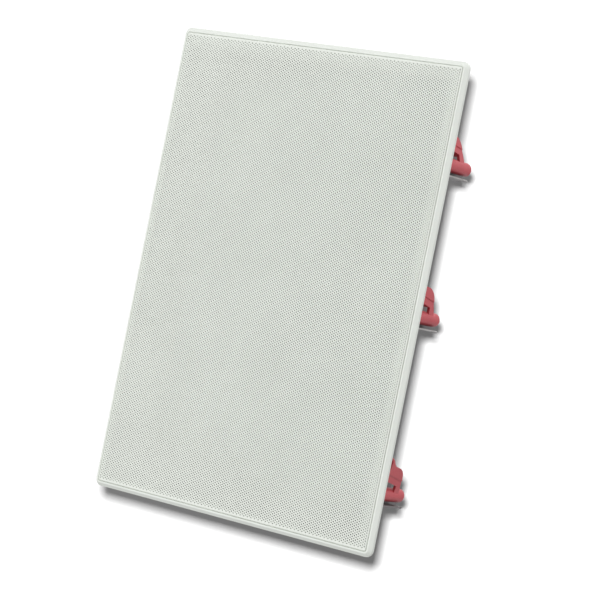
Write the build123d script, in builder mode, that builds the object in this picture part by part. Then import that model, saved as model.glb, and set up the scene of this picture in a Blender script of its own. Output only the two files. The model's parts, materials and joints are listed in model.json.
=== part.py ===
from build123d import *
from math import atan, cos, degrees, radians, sin, tan
import os

os.makedirs("parts", exist_ok=True)

# Sizes are in millimetres. X runs to the right seen from the room, Y into the wall and Z up.
# Depth 0 is the face of the wall: depths in the room are negative, depths in the wall positive.

# Drivers: everything around them grows with these two radii
woofer_radius = 100.0
faceplate_radius = 52.0
woofer_side_gap = 3.0
woofer_end_gap = 3.0
driver_gap = 14.0
tweeter_end_gap = 17.0

# Flange and the wall opening behind it
flange_overlap = 10.0
flange_corner = 5.6
flange_edge = 2.2
cutout_clearance = 1.25

# Bezel around the grille, and the ledge under the grille
bezel_width = 3.7
bezel_rise = 2.4
bezel_land = 1.2
bezel_round = 0.5
ledge_thickness = 2.0
ledge_width = 15.0
ledge_corner = 6.0
rebate_depth = 1.0
rebate_clearance = 0.3

# Grille, its cloth and its magnets
grille_gap = 0.6
grille_proud = 0.4
grille_sheet = 0.8
grille_corner = 1.4
grille_fold = 0.6
scrim_thickness = 0.3
scrim_margin = 2.0
magnet_radius = 3.0
magnet_pocket = 1.5
magnet_inset = 4.0
magnet_side_spacing = 118.0
magnet_end_spacing = 150.0
fit_clearance = 0.1

# Baffle
baffle_corner = 9.0
band_thickness = 4.0
band_side = 18.25
band_end = 3.25
dish_depth = 10.0
dish_wall = 2.5
dish_corner = 8.0
floor_thickness = 4.0
rib_thickness = 3.0
rib_height = 6.0
rib_lift = 10.0

# Screws that hold the frame on the baffle
frame_screw_inset = 15.2
frame_screw_end = 21.0
frame_screw_low = 75.0
frame_screw_radius = 1.5
frame_screw_head = 3.2
frame_screw_length = 12.0
frame_boss_radius = 3.6
frame_boss_height = 9.0
countersink_angle = 90.0

# Clamps: a screw through the baffle carries a dog that swings out behind the wall
clamp_inset = 18.0
clamp_high = 111.0
clamp_middle = -5.0
clamp_low = -140.0
turn_parked = -20.0
turn_high = -17.0
turn_middle = -2.0
turn_low = 12.0
slide_high = 2.0
clamp_screw_radius = 2.0
clamp_screw_tip = 44.0
clamp_head_radius = 4.0
clamp_head_height = 2.6
clamp_head_sink = 0.4
head_clearance = 0.5
running_clearance = 0.06
access_radius = 5.0
clamp_boss_radius = 6.0
clamp_boss_rear = 10.0

hub_radius = 5.3
hub_front = 16.0
hub_rear = 48.2
hub_round = 2.6
arm_outer = 4.4
arm_inner = 1.6
neck_inner = 2.2
jaw_outer = 5.0
jaw_inner = 2.0
jaw_front = 14.0
jaw_foot = 12.0
slot_reach = 8.6
crease_front = 17.6
crease_rear = 13.0
jaw_rear = 35.4
neck_front = 31.2
neck_rear = 37.6
jaw_top_depth = 25.4
jaw_top_reach = 23.2
shoulder_depth = 31.4
shoulder_reach = 20.6
shoulder_end_depth = 34.2
shoulder_end_reach = 16.4
toe_reach = 30.0
toe_depth = 15.2
toe_round = 3.4
toe_scoop_depth = 17.0
toe_scoop_reach = 26.9
grip_ridges = 3
grip_start = 2.4
grip_pitch = 3.4
grip_height = 0.8

tower_wall = 3.0
parked_gap = 0.5
tower_rise = 14.0
tower_rear = 46.0
channel_rise = 4.0
channel_rear = 58.0
shelf_gap = 2.4
shelf_thickness = 1.4
shelf_rear = 49.0
shelf_chamfer = 4.0

# Woofer, from its flange to its back plate
basket_sheet = 1.2
basket_flange = 14.0
basket_step = 2.0
basket_shoulder_depth = 5.0
spider_seat_inner = 50.0
spider_seat_outer = 58.5
spider_seat_depth = 37.0
basket_bottom_inner = 20.0
basket_bottom_outer = 47.0
basket_bottom_depth = 47.0
basket_windows = 6
basket_spoke_angle = 14.0
window_margin = 5.0
woofer_hole_clearance = 3.0
woofer_screw_count = 8
woofer_screw_inset = 3.5
screw_boss_height = 5.0

surround_thickness = 0.7
surround_lip_width = 7.0
roll_width = 14.0
cone_lip_width = 5.2
cone_thickness = 0.9
gasket_thickness = 1.6
gasket_gap = 1.2
cone_depth = 30.0
former_radius = 15.7
former_wall = 0.5
former_length = 30.0
coil_thickness = 1.1
coil_length = 12.0
dust_cap_radius = 30.0
dust_cap_rise = 9.6
dust_cap_thickness = 0.8
dust_cap_gap = 0.25
spider_thickness = 0.6
spider_wave = 2.4
spider_collar = 4.0
spider_lip = 57.0

top_plate_radius = 46.0
top_plate_thickness = 6.0
gap_outer = 17.9
pole_radius = 14.6
pole_vent = 5.0
magnet_ring_outer = 50.0
magnet_ring_inner = 26.0
magnet_ring_height = 18.0
back_plate_thickness = 6.0
plate_chamfer = 1.0

tag_board_width = 18.0
tag_board_height = 7.0
tag_board_thickness = 1.6
tag_spacing = 10.0
tag_width = 4.8
tag_thickness = 0.8
tag_length = 8.0

# Tweeter
faceplate_thickness = 2.8
faceplate_edge = 1.0
mouth_overlap = 1.0
horn_throat = 16.8
horn_depth = 8.3
horn_wall = 3.0
faceplate_rim = 15.0
collar_wall = 2.5
tweeter_hole_clearance = 1.0
tweeter_screw_count = 4
tweeter_screw_inset = 6.0
dome_radius = 13.2
dome_rise = 4.4
dome_thickness = 0.3
dome_lip = 0.8
tweeter_roll_outer = 16.4
tweeter_lip = 19.0
tweeter_coil_length = 5.5
tweeter_coil_inner = 12.4
tweeter_pole_radius = 11.9
tweeter_pole_setback = 1.0
tweeter_gap_outer = 13.9
tweeter_plate_gap = 1.5
tweeter_plate_thickness = 3.5
tweeter_magnet_step = 3.0
tweeter_magnet_inner = 17.0
tweeter_magnet_height = 9.0
tweeter_back_step = 2.0
tweeter_back_thickness = 4.0

# Driver and board screws
screw_radius = 1.6
screw_head_radius = 3.0
screw_head_height = 2.0
driver_screw_length = 9.0
board_screw_length = 6.0
recess_width = 0.9
recess_span = 3.4
recess_depth = 1.2

# Crossover board and its parts
board_side_gap = 3.0
board_end_gap = 11.0
board_width = 50.0
board_height = 108.0
board_thickness = 1.6
board_standoff = 6.0
standoff_radius = 3.5
board_hole_inset = 4.5
bobbin_flange = 1.5
bobbin_core = 6.0
woofer_coil_radius = 17.0
woofer_coil_height = 16.0
woofer_coil_drop = 22.0
tweeter_coil_radius = 10.5
tweeter_coil_height = 11.0
tweeter_coil_lift = 39.0
tweeter_coil_shift = -9.0
winding_gap = 0.1
woofer_cap_radius = 8.0
woofer_cap_length = 32.0
woofer_cap_shift = -12.0
tweeter_cap_radius = 6.0
tweeter_cap_length = 26.0
tweeter_cap_shift = 12.0
cap_lift = 12.0
cap_bevel = 1.0
resistor_length = 22.0
resistor_section = 9.0
resistor_lift = 37.0
resistor_bevel = 0.8

# Push terminals
terminal_side_gap = 1.0
terminal_width = 52.0
terminal_height = 26.0
terminal_base = 3.0
terminal_corner = 3.0
post_spacing = 26.0
post_radius = 7.0
post_height = 9.0
post_floor = 1.5
stem_radius = 4.2
stem_length = 9.0
button_radius = 6.2
button_height = 5.0
button_bevel = 1.0
button_travel = 2.5
spring_wire = 0.3
spring_gap = 0.5
spring_turns = 3.5
wire_hole_radius = 1.5
wire_hole_level = 5.0

# Depths that the pieces share
ledge_rear = -rebate_depth
ledge_front = ledge_rear - ledge_thickness
bezel_crest = -(flange_edge + bezel_rise)
grille_front = bezel_crest - grille_proud
sheet_rear = grille_front + grille_sheet
baffle_front = ledge_rear
band_rear = baffle_front + band_thickness
mount_depth = baffle_front + dish_depth
floor_rear = mount_depth + floor_thickness
basket_front = mount_depth - basket_sheet

# Widths and heights that the pieces share, from the drivers out to the flange
dish_width = 2 * (woofer_radius + woofer_side_gap)
dish_height = (
    woofer_end_gap + 2 * woofer_radius + driver_gap + 2 * faceplate_radius + tweeter_end_gap
)
baffle_width = dish_width + 2 * (dish_wall + band_side)
baffle_height = dish_height + 2 * (dish_wall + band_end)
flange_width = baffle_width + 2 * (cutout_clearance + flange_overlap)
flange_height = baffle_height + 2 * (cutout_clearance + flange_overlap)
woofer_z = woofer_end_gap + woofer_radius - dish_height / 2
tweeter_z = dish_height / 2 - tweeter_end_gap - faceplate_radius
recess_width_x = flange_width - 2 * bezel_width
recess_height_z = flange_height - 2 * bezel_width
recess_corner = flange_corner - bezel_width
opening_width = recess_width_x - 2 * ledge_width
opening_height = recess_height_z - 2 * ledge_width
grille_width = recess_width_x - 2 * grille_gap
grille_height = recess_height_z - 2 * grille_gap
clamp_x = flange_width / 2 - clamp_inset
frame_screw_x = flange_width / 2 - frame_screw_inset
frame_screw_high = flange_height / 2 - frame_screw_end
magnet_x = grille_width / 2 - magnet_inset - grille_sheet
magnet_z = grille_height / 2 - magnet_inset - grille_sheet

basket_inner = woofer_radius - basket_flange
basket_shoulder = basket_inner - basket_step
woofer_hole = basket_inner + basket_sheet + woofer_hole_clearance
woofer_screw_circle = woofer_radius - woofer_screw_inset
surround_lip = basket_inner + surround_lip_width
roll_outer = basket_inner
roll_inner = roll_outer - roll_width
cone_lip = roll_inner - cone_lip_width

faceplate_collar = faceplate_radius - faceplate_rim
horn_mouth = faceplate_collar + mouth_overlap
tweeter_hole = faceplate_collar + tweeter_hole_clearance
tweeter_screw_circle = faceplate_radius - tweeter_screw_inset
tweeter_plate_radius = faceplate_collar - collar_wall - tweeter_plate_gap
tweeter_magnet_outer = tweeter_plate_radius - tweeter_magnet_step
tweeter_back_radius = tweeter_plate_radius - tweeter_back_step

board_x = board_side_gap + board_width / 2 - dish_width / 2
board_z = dish_height / 2 - board_end_gap - board_height / 2
terminal_x = dish_width / 2 - terminal_side_gap - terminal_width / 2
terminal_z = board_z
rib_level = woofer_z + woofer_radius + rib_lift
upright_rib_inset = (tweeter_hole + terminal_x - terminal_width / 2) / 2

woofer_axis = Axis((0, 0, woofer_z), (0, 1, 0))
tweeter_axis = Axis((0, 0, tweeter_z), (0, 1, 0))
woofer_section = Plane.XY.offset(woofer_z)
tweeter_section = Plane.XY.offset(tweeter_z)

# The left clamps are the right ones turned half round, so that all swing out the same way.
clamps = {
    "right_top": (1, clamp_high, turn_high, slide_high),
    "right_middle": (1, clamp_middle, turn_middle, 0),
    "right_bottom": (1, clamp_low, turn_low, 0),
    "left_top": (-1, -clamp_low, turn_parked, 0),
    "left_middle": (-1, -clamp_middle, turn_parked, 0),
    "left_bottom": (-1, -clamp_high, turn_parked, 0),
}
frame_screw_points = [
    (side * frame_screw_x, level)
    for side in (-1, 1)
    for level in (-frame_screw_high, -frame_screw_low, frame_screw_low, frame_screw_high)
]
magnet_points = [
    (side * magnet_x, row * magnet_side_spacing) for side in (-1, 1) for row in (-1, 0, 1)
]
magnet_points += [
    (column * magnet_end_spacing / 2, end * magnet_z) for end in (-1, 1) for column in (-1, 1)
]


def room_plane(depth):
    # Faces the room at this depth: an extrusion grows towards the room
    return Plane.XZ.offset(-depth)


def wall_plane(depth):
    # Faces into the wall at this depth: an extrusion grows away from the room
    return Plane(origin=(0, depth, 0), x_dir=(-1, 0, 0), z_dir=(0, 1, 0))


def clamp_place(side, level, turn, slide):
    return Location((side * clamp_x, slide, level), (0, turn + (0 if side > 0 else 180), 0))


def pan_screw(shank_radius, length, head_radius, head_height):
    # Head up from the origin, shank down, with a cross recess
    with BuildPart() as screw:
        with BuildSketch():
            Circle(head_radius)
        extrude(amount=head_height)
        chamfer(screw.faces().sort_by(Axis.Z)[-1].edges(), head_height / 3)
        with BuildSketch():
            Circle(shank_radius)
        extrude(amount=-length)
        with BuildSketch(Plane.XY.offset(head_height)):
            Rectangle(recess_span, recess_width)
            Rectangle(recess_width, recess_span)
        extrude(amount=-recess_depth, mode=Mode.SUBTRACT)
    return screw.part


def jaw_crown():
    # Outline of a dog's jaw over toe and shoulder, between the two ends of its crease
    Polyline((jaw_front, crease_front), (jaw_front, toe_reach), (toe_depth, toe_reach))
    ThreePointArc(
        (toe_depth, toe_reach), (toe_scoop_depth, toe_scoop_reach), (jaw_top_depth, jaw_top_reach)
    )
    ThreePointArc(
        (jaw_top_depth, jaw_top_reach),
        (shoulder_depth, shoulder_reach),
        (shoulder_end_depth, shoulder_end_reach),
    )
    Line((shoulder_end_depth, shoulder_end_reach), (jaw_rear, crease_rear))


# White moulded frame: flange, sloping bezel and the ledge that carries the grille
bezel_slope = degrees(atan((bezel_width - bezel_land) / bezel_rise))
with BuildPart() as frame:
    with BuildSketch(room_plane(0)):
        RectangleRounded(flange_width, flange_height, flange_corner)
    extrude(amount=flange_edge)
    with BuildSketch(room_plane(-flange_edge)):
        RectangleRounded(flange_width, flange_height, flange_corner)
    extrude(amount=bezel_rise, taper=bezel_slope)
    fillet(frame.faces().sort_by(Axis.Y)[0].edges(), bezel_round)
    with BuildSketch(room_plane(ledge_front)):
        RectangleRounded(recess_width_x, recess_height_z, recess_corner)
    extrude(amount=ledge_front - bezel_crest, mode=Mode.SUBTRACT)
    with BuildSketch(room_plane(0)):
        RectangleRounded(
            baffle_width + 2 * rebate_clearance,
            baffle_height + 2 * rebate_clearance,
            baffle_corner + rebate_clearance,
        )
    extrude(amount=rebate_depth, mode=Mode.SUBTRACT)
    with BuildSketch(room_plane(ledge_rear)):
        RectangleRounded(opening_width, opening_height, ledge_corner)
        with Locations(*[(side * clamp_x, level) for side, level, turn, slide in clamps.values()]):
            Circle(access_radius)
    extrude(amount=ledge_thickness, mode=Mode.SUBTRACT)
    with BuildSketch(room_plane(ledge_front)):
        with Locations(*magnet_points):
            Circle(magnet_radius + fit_clearance)
    extrude(amount=-magnet_pocket, mode=Mode.SUBTRACT)
    with Locations(room_plane(ledge_front)):
        with Locations(*frame_screw_points):
            CounterSinkHole(
                frame_screw_radius + fit_clearance,
                frame_screw_head + fit_clearance,
                counter_sink_angle=countersink_angle,
            )

# Grille: a steel tray whose folded rim stands on the ledge
with BuildPart() as grille:
    with BuildSketch(room_plane(ledge_front)):
        RectangleRounded(grille_width, grille_height, grille_corner)
    extrude(amount=ledge_front - grille_front)
    fillet(grille.faces().sort_by(Axis.Y)[0].edges(), grille_fold)
    with BuildSketch(room_plane(ledge_front)):
        RectangleRounded(
            grille_width - 2 * grille_sheet,
            grille_height - 2 * grille_sheet,
            grille_corner - grille_sheet,
        )
    extrude(amount=ledge_front - sheet_rear, mode=Mode.SUBTRACT)

with BuildPart() as grille_scrim:
    with BuildSketch(room_plane(sheet_rear + scrim_thickness)):
        RectangleRounded(
            grille_width - 2 * scrim_margin, grille_height - 2 * scrim_margin, grille_corner
        )
    extrude(amount=scrim_thickness)

with BuildPart() as grille_magnets:
    with BuildSketch(room_plane(ledge_front + magnet_pocket)):
        with Locations(*magnet_points):
            Circle(magnet_radius)
    extrude(amount=ledge_front + magnet_pocket - sheet_rear - scrim_thickness)

# Tower beside each clamp: a wall that stops the parked dog and a shelf that stops the swung one.
# Its origin is on the clamp's screw, with +X away from the speaker's middle.
dish_side = clamp_x - dish_width / 2 - dish_wall
parked = radians(-turn_parked)
wall_outer = -(jaw_inner / cos(parked) + tower_rise * tan(parked) + parked_gap)
shelf_top = -(hub_radius + shelf_gap)
shelf_bottom = shelf_top - shelf_thickness
with BuildPart() as clamp_tower:
    with BuildSketch(wall_plane(band_rear)):
        with Locations((-wall_outer, shelf_bottom)):
            Rectangle(tower_wall, tower_rise - shelf_bottom, align=(Align.MIN, Align.MIN))
    extrude(amount=tower_rear - band_rear)
    with BuildSketch(wall_plane(band_rear)):
        with Locations((-wall_outer, shelf_bottom)):
            Rectangle(
                dish_side + wall_outer, tower_rise - shelf_bottom, align=(Align.MIN, Align.MIN)
            )
    extrude(amount=floor_rear - band_rear)
    with BuildSketch(wall_plane(band_rear)):
        with Locations((-hub_radius, shelf_bottom)):
            Rectangle(
                hub_radius - wall_outer + tower_wall,
                shelf_thickness,
                align=(Align.MIN, Align.MIN),
            )
    extrude(amount=shelf_rear - band_rear)
    shelf_end = clamp_tower.edges().filter_by(Axis.Z).group_by(Axis.Y)[-1].sort_by(Axis.X)[-1]
    chamfer(shelf_end, shelf_chamfer)
    with BuildSketch(wall_plane(band_rear)):
        with Locations((-wall_outer, shelf_bottom)):
            Rectangle(tower_wall, channel_rise - shelf_bottom, align=(Align.MIN, Align.MIN))
    extrude(amount=channel_rear - band_rear)
    with BuildSketch(wall_plane(band_rear)):
        Circle(clamp_boss_radius)
    extrude(amount=clamp_boss_rear - band_rear)

# Baffle: a band behind the ledge, a dish that sets the drivers back, ribs, bosses and towers
board_hole_x = board_width / 2 - board_hole_inset
board_hole_z = board_height / 2 - board_hole_inset
board_hole_points = [
    (board_x + across * board_hole_x, board_z + up * board_hole_z)
    for across in (-1, 1)
    for up in (-1, 1)
]
with BuildPart() as baffle:
    with BuildSketch(room_plane(baffle_front)):
        RectangleRounded(baffle_width, baffle_height, baffle_corner)
    extrude(amount=-band_thickness)
    with BuildSketch(room_plane(baffle_front)):
        RectangleRounded(
            dish_width + 2 * dish_wall, dish_height + 2 * dish_wall, dish_corner + dish_wall
        )
    extrude(amount=baffle_front - floor_rear)
    with BuildSketch(room_plane(baffle_front)):
        RectangleRounded(dish_width, dish_height, dish_corner)
    extrude(amount=-dish_depth, mode=Mode.SUBTRACT)
    with BuildSketch(wall_plane(floor_rear)):
        with Locations((0, rib_level)):
            Rectangle(dish_width, rib_thickness)
        for side in (-1, 1):
            with Locations((side * upright_rib_inset, rib_level)):
                Rectangle(
                    rib_thickness, dish_height / 2 - rib_level, align=(Align.CENTER, Align.MIN)
                )
    extrude(amount=rib_height)
    with BuildSketch(wall_plane(floor_rear)):
        with Locations(*[(-x, z) for x, z in board_hole_points]):
            Circle(standoff_radius)
    extrude(amount=board_standoff)
    with BuildSketch(wall_plane(floor_rear)):
        with Locations((0, woofer_z)):
            with PolarLocations(woofer_screw_circle, woofer_screw_count, 180 / woofer_screw_count):
                Circle(screw_radius + rib_thickness)
        with Locations((0, tweeter_z)):
            with PolarLocations(tweeter_screw_circle, tweeter_screw_count, 180 / tweeter_screw_count):
                Circle(screw_radius + rib_thickness)
    extrude(amount=screw_boss_height)
    with BuildSketch(wall_plane(band_rear)):
        with Locations(*frame_screw_points):
            Circle(frame_boss_radius)
    extrude(amount=frame_boss_height)
    with Locations(*[clamp_place(side, level, 0, 0) for side, level, turn, slide in clamps.values()]):
        add(clamp_tower.part)
    with BuildSketch(room_plane(mount_depth)):
        with Locations((0, woofer_z)):
            Circle(woofer_hole)
        with Locations((0, tweeter_z)):
            Circle(tweeter_hole)
    extrude(amount=-(floor_thickness + rib_height), mode=Mode.SUBTRACT)
    with BuildSketch(room_plane(mount_depth)):
        with Locations((0, woofer_z)):
            with PolarLocations(woofer_screw_circle, woofer_screw_count, 180 / woofer_screw_count):
                Circle(screw_radius + running_clearance)
        with Locations((0, tweeter_z)):
            with PolarLocations(tweeter_screw_circle, tweeter_screw_count, 180 / tweeter_screw_count):
                Circle(screw_radius + running_clearance)
    extrude(amount=-(floor_thickness + screw_boss_height), mode=Mode.SUBTRACT)
    with BuildSketch(wall_plane(floor_rear + board_standoff)):
        with Locations(*[(-x, z) for x, z in board_hole_points]):
            Circle(screw_radius + running_clearance)
    extrude(amount=-(board_standoff + floor_thickness / 2), mode=Mode.SUBTRACT)
    with BuildSketch(room_plane(baffle_front)):
        with Locations(*frame_screw_points):
            Circle(frame_screw_radius + running_clearance)
    extrude(amount=-(band_thickness + frame_boss_height), mode=Mode.SUBTRACT)
    with Locations(room_plane(baffle_front)):
        with Locations(*[(side * clamp_x, level) for side, level, turn, slide in clamps.values()]):
            CounterBoreHole(
                clamp_screw_radius + running_clearance,
                clamp_head_radius + head_clearance,
                clamp_head_sink + clamp_head_height,
            )

with BuildPart() as countersunk_screw:
    with BuildSketch():
        Circle(frame_screw_radius)
    extrude(amount=-frame_screw_length)
    with BuildSketch(Plane.XZ):
        with BuildLine():
            Polyline(
                (0, 0),
                (frame_screw_head, 0),
                (frame_screw_radius, frame_screw_radius - frame_screw_head),
                (0, frame_screw_radius - frame_screw_head),
                close=True,
            )
        make_face()
    revolve(axis=Axis.Z)
    with BuildSketch():
        Rectangle(recess_span, recess_width)
        Rectangle(recess_width, recess_span)
    extrude(amount=-recess_depth, mode=Mode.SUBTRACT)

with BuildPart() as frame_screws:
    with Locations(room_plane(ledge_front)):
        with Locations(*frame_screw_points):
            add(countersunk_screw.part)

# Dog of a clamp, on its screw's axis, with its arm up: hub, neck and hooked jaw.
# The neck is a web on the outer side, so the slot between the hub and the jaw is open right through.
slot_depth = jaw_rear + (neck_rear - jaw_rear) * (crease_rear - slot_reach) / (crease_rear - hub_radius)
with BuildPart() as clamp_dog:
    with BuildSketch(Plane.YZ.offset(neck_inner)):
        Polygon(
            (neck_front, 0),
            (neck_rear, 0),
            (neck_rear, hub_radius),
            (jaw_rear, crease_rear),
            (neck_front, crease_rear),
            align=None,
        )
    extrude(amount=arm_outer - neck_inner)
    with BuildSketch(Plane.YZ.offset(-arm_inner)):
        with BuildLine():
            jaw_crown()
            Polyline(
                (jaw_rear, crease_rear),
                (slot_depth, slot_reach),
                (neck_front, slot_reach),
                (jaw_front, jaw_foot),
                (jaw_front, crease_front),
            )
        make_face()
    extrude(amount=arm_inner + arm_outer)
    with BuildSketch(Plane.YZ.offset(-jaw_inner)):
        with BuildLine():
            jaw_crown()
            Line((jaw_rear, crease_rear), (jaw_front, crease_front))
        make_face()
    extrude(amount=jaw_inner + jaw_outer)
    with BuildSketch(wall_plane(jaw_front)):
        with Locations(((jaw_inner - jaw_outer) / 2, 0)):
            RectangleRounded(jaw_inner + jaw_outer, 2 * toe_reach, toe_round)
    extrude(amount=neck_rear - jaw_front, mode=Mode.INTERSECT)
    with BuildSketch(Plane.YZ.offset(-arm_inner)):
        for ridge in range(grip_ridges):
            with Locations((jaw_front, jaw_foot + grip_start + ridge * grip_pitch)):
                Polygon((0, -grip_height), (0, grip_height), (-grip_height, 0), align=None)
    extrude(amount=arm_inner + arm_outer)
    with BuildSketch(wall_plane(hub_front)):
        Circle(hub_radius)
    extrude(amount=hub_rear - hub_front)
    fillet(clamp_dog.faces().sort_by(Axis.Y)[-1].edges(), hub_round)
    with BuildSketch(wall_plane(hub_front)):
        Circle(clamp_screw_radius + running_clearance)
    extrude(amount=hub_rear - hub_front, mode=Mode.SUBTRACT)

head_seat = baffle_front + clamp_head_sink + clamp_head_height
with BuildPart() as clamp_screw:
    with Locations(room_plane(head_seat)):
        add(
            pan_screw(
                clamp_screw_radius, clamp_screw_tip - head_seat, clamp_head_radius, clamp_head_height
            )
        )
    tip_edge = clamp_screw.edges().filter_by(GeomType.CIRCLE).sort_by(Axis.Y)[-1]
    chamfer(tip_edge, clamp_screw_radius / 2)

# Woofer basket: pressed steel, with windows between its spokes
step_depth = mount_depth + basket_shoulder_depth
seat_front = mount_depth + spider_seat_depth
bottom_rear = mount_depth + basket_bottom_depth
with BuildPart() as woofer_basket:
    with BuildSketch(woofer_section):
        with BuildLine():
            Polyline(
                (woofer_radius, basket_front),
                (basket_inner, basket_front),
                (basket_shoulder, step_depth),
                (spider_seat_outer, seat_front),
                (spider_seat_inner, seat_front),
                (basket_bottom_outer, bottom_rear - basket_sheet),
                (basket_bottom_inner, bottom_rear - basket_sheet),
                (basket_bottom_inner, bottom_rear),
                (basket_bottom_outer + basket_sheet, bottom_rear),
                (spider_seat_inner + basket_sheet, seat_front + basket_sheet),
                (spider_seat_outer + basket_sheet / 2, seat_front + basket_sheet),
                (basket_shoulder + basket_sheet, step_depth + basket_sheet / 2),
                (basket_inner + basket_sheet, mount_depth),
                (woofer_radius, mount_depth),
                close=True,
            )
        make_face()
    revolve(axis=woofer_axis)
    window_half = radians(180 / basket_windows - basket_spoke_angle / 2)
    window_x = woofer_radius * cos(window_half)
    window_z = woofer_radius * sin(window_half)
    with BuildSketch(wall_plane(step_depth + window_margin)):
        with Locations((0, woofer_z)):
            with PolarLocations(0, basket_windows):
                Polygon((0, 0), (window_x, -window_z), (window_x, window_z), align=None)
    extrude(amount=seat_front - step_depth - 2 * window_margin, mode=Mode.SUBTRACT)
    with BuildSketch(room_plane(mount_depth)):
        with Locations((0, woofer_z)):
            with PolarLocations(woofer_screw_circle, woofer_screw_count, 180 / woofer_screw_count):
                Circle(screw_radius + running_clearance)
    extrude(amount=basket_sheet, mode=Mode.SUBTRACT)

# Soft parts of the woofer: half-roll surround, its gasket and the pleated spider
roll_middle = (roll_outer + roll_inner) / 2
roll_height = (roll_outer - roll_inner) / 2
lip_front = basket_front - surround_thickness
with BuildPart() as woofer_surround:
    with BuildSketch(woofer_section):
        with BuildLine():
            Polyline(
                (roll_outer + surround_thickness, lip_front),
                (surround_lip, lip_front),
                (surround_lip, basket_front),
                (roll_outer, basket_front),
            )
            ThreePointArc(
                (roll_outer, basket_front),
                (roll_middle, basket_front - roll_height),
                (roll_inner, basket_front),
            )
            Polyline(
                (roll_inner, basket_front),
                (cone_lip, basket_front),
                (cone_lip, lip_front),
                (roll_inner - surround_thickness, lip_front),
            )
            ThreePointArc(
                (roll_inner - surround_thickness, lip_front),
                (roll_middle, lip_front - roll_height),
                (roll_outer + surround_thickness, lip_front),
            )
        make_face()
    revolve(axis=woofer_axis)

with BuildPart() as woofer_gasket:
    with BuildSketch(room_plane(lip_front)):
        with Locations((0, woofer_z)):
            Circle(surround_lip)
            Circle(roll_outer + surround_thickness + gasket_gap, mode=Mode.SUBTRACT)
    extrude(amount=gasket_thickness)

spider_inner = former_radius
wave_start = former_radius + spider_collar
wave_step = (spider_seat_inner - wave_start) / 4
spider_rear = seat_front
spider_front = seat_front - spider_thickness
wave_line = [
    (wave_start, 0),
    (wave_start + wave_step, -spider_wave),
    (wave_start + 2 * wave_step, 0),
    (wave_start + 3 * wave_step, -spider_wave),
    (spider_seat_inner, 0),
]
with BuildPart() as woofer_spider:
    with BuildSketch(woofer_section):
        with BuildLine():
            Polyline(
                (spider_inner, spider_front),
                *[(radius, spider_front + wave) for radius, wave in wave_line],
                (spider_lip, spider_front),
                (spider_lip, spider_rear),
                *[(radius, spider_rear + wave) for radius, wave in reversed(wave_line)],
                (spider_inner, spider_rear),
                close=True,
            )
        make_face()
    revolve(axis=woofer_axis)

# Moving part of the woofer: cone, dust cap, coil former and voice coil
cone_front = basket_front
neck_depth = cone_front + cone_depth
cone_slope = cone_depth / (cone_lip - former_radius)
with BuildPart() as woofer_cone:
    with BuildSketch(woofer_section):
        with BuildLine():
            Polyline(
                (roll_inner, cone_front),
                (cone_lip, cone_front),
                (former_radius, neck_depth),
                (former_radius, neck_depth + cone_thickness),
                (cone_lip, cone_front + cone_thickness),
                (roll_inner, cone_front + cone_thickness),
                close=True,
            )
        make_face()
    revolve(axis=woofer_axis)

cap_rim = cone_front + (cone_lip - dust_cap_radius) * cone_slope - dust_cap_gap
cap_apex = cap_rim - dust_cap_rise
with BuildPart() as woofer_dust_cap:
    with BuildSketch(woofer_section):
        with BuildLine():
            TangentArc((0, cap_apex), (dust_cap_radius, cap_rim), tangent=(1, 0))
            Line((dust_cap_radius, cap_rim), (dust_cap_radius - dust_cap_thickness, cap_rim))
            TangentArc(
                (0, cap_apex + dust_cap_thickness),
                (dust_cap_radius - dust_cap_thickness, cap_rim),
                tangent=(1, 0),
            )
            Line((0, cap_apex + dust_cap_thickness), (0, cap_apex))
        make_face()
    revolve(axis=woofer_axis)

former_front = neck_depth - former_wall
with BuildPart() as woofer_coil_former:
    with BuildSketch(wall_plane(former_front)):
        with Locations((0, woofer_z)):
            Circle(former_radius)
            Circle(former_radius - former_wall, mode=Mode.SUBTRACT)
    extrude(amount=former_length)

plate_front = bottom_rear
plate_rear = plate_front + top_plate_thickness
coil_front = (plate_front + plate_rear - coil_length) / 2
with BuildPart() as woofer_voice_coil:
    with BuildSketch(wall_plane(coil_front)):
        with Locations((0, woofer_z)):
            Circle(former_radius + coil_thickness)
            Circle(former_radius, mode=Mode.SUBTRACT)
    extrude(amount=coil_length)

# Magnet system of the woofer
with BuildPart() as woofer_top_plate:
    with BuildSketch(wall_plane(plate_front)):
        with Locations((0, woofer_z)):
            Circle(top_plate_radius)
            Circle(gap_outer, mode=Mode.SUBTRACT)
    extrude(amount=top_plate_thickness)

ring_rear = plate_rear + magnet_ring_height
with BuildPart() as woofer_magnet:
    with BuildSketch(wall_plane(plate_rear)):
        with Locations((0, woofer_z)):
            Circle(magnet_ring_outer)
            Circle(magnet_ring_inner, mode=Mode.SUBTRACT)
    extrude(amount=magnet_ring_height)
    ring_edges = woofer_magnet.edges().filter_by(GeomType.CIRCLE)
    chamfer(ring_edges.group_by(SortBy.RADIUS)[-1], plate_chamfer)

with BuildPart() as woofer_back_plate:
    with BuildSketch(wall_plane(ring_rear)):
        with Locations((0, woofer_z)):
            Circle(top_plate_radius)
    extrude(amount=back_plate_thickness)
    chamfer(woofer_back_plate.faces().sort_by(Axis.Y)[-1].edges(), plate_chamfer)
    with BuildSketch(room_plane(ring_rear)):
        with Locations((0, woofer_z)):
            Circle(pole_radius)
    extrude(amount=ring_rear - plate_front)
    with BuildSketch(wall_plane(plate_front)):
        with Locations((0, woofer_z)):
            Circle(pole_vent)
    extrude(amount=ring_rear + back_plate_thickness - plate_front, mode=Mode.SUBTRACT)

# Tag board on the rim of the spider seat, with two solder tags
seat_rear = seat_front + basket_sheet
tag_z = woofer_z + (spider_seat_inner + spider_seat_outer + basket_sheet) / 2
with BuildPart() as woofer_tag_board:
    with BuildSketch(wall_plane(seat_rear)):
        with Locations((0, tag_z)):
            Rectangle(tag_board_width, tag_board_height)
    extrude(amount=tag_board_thickness)

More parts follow.
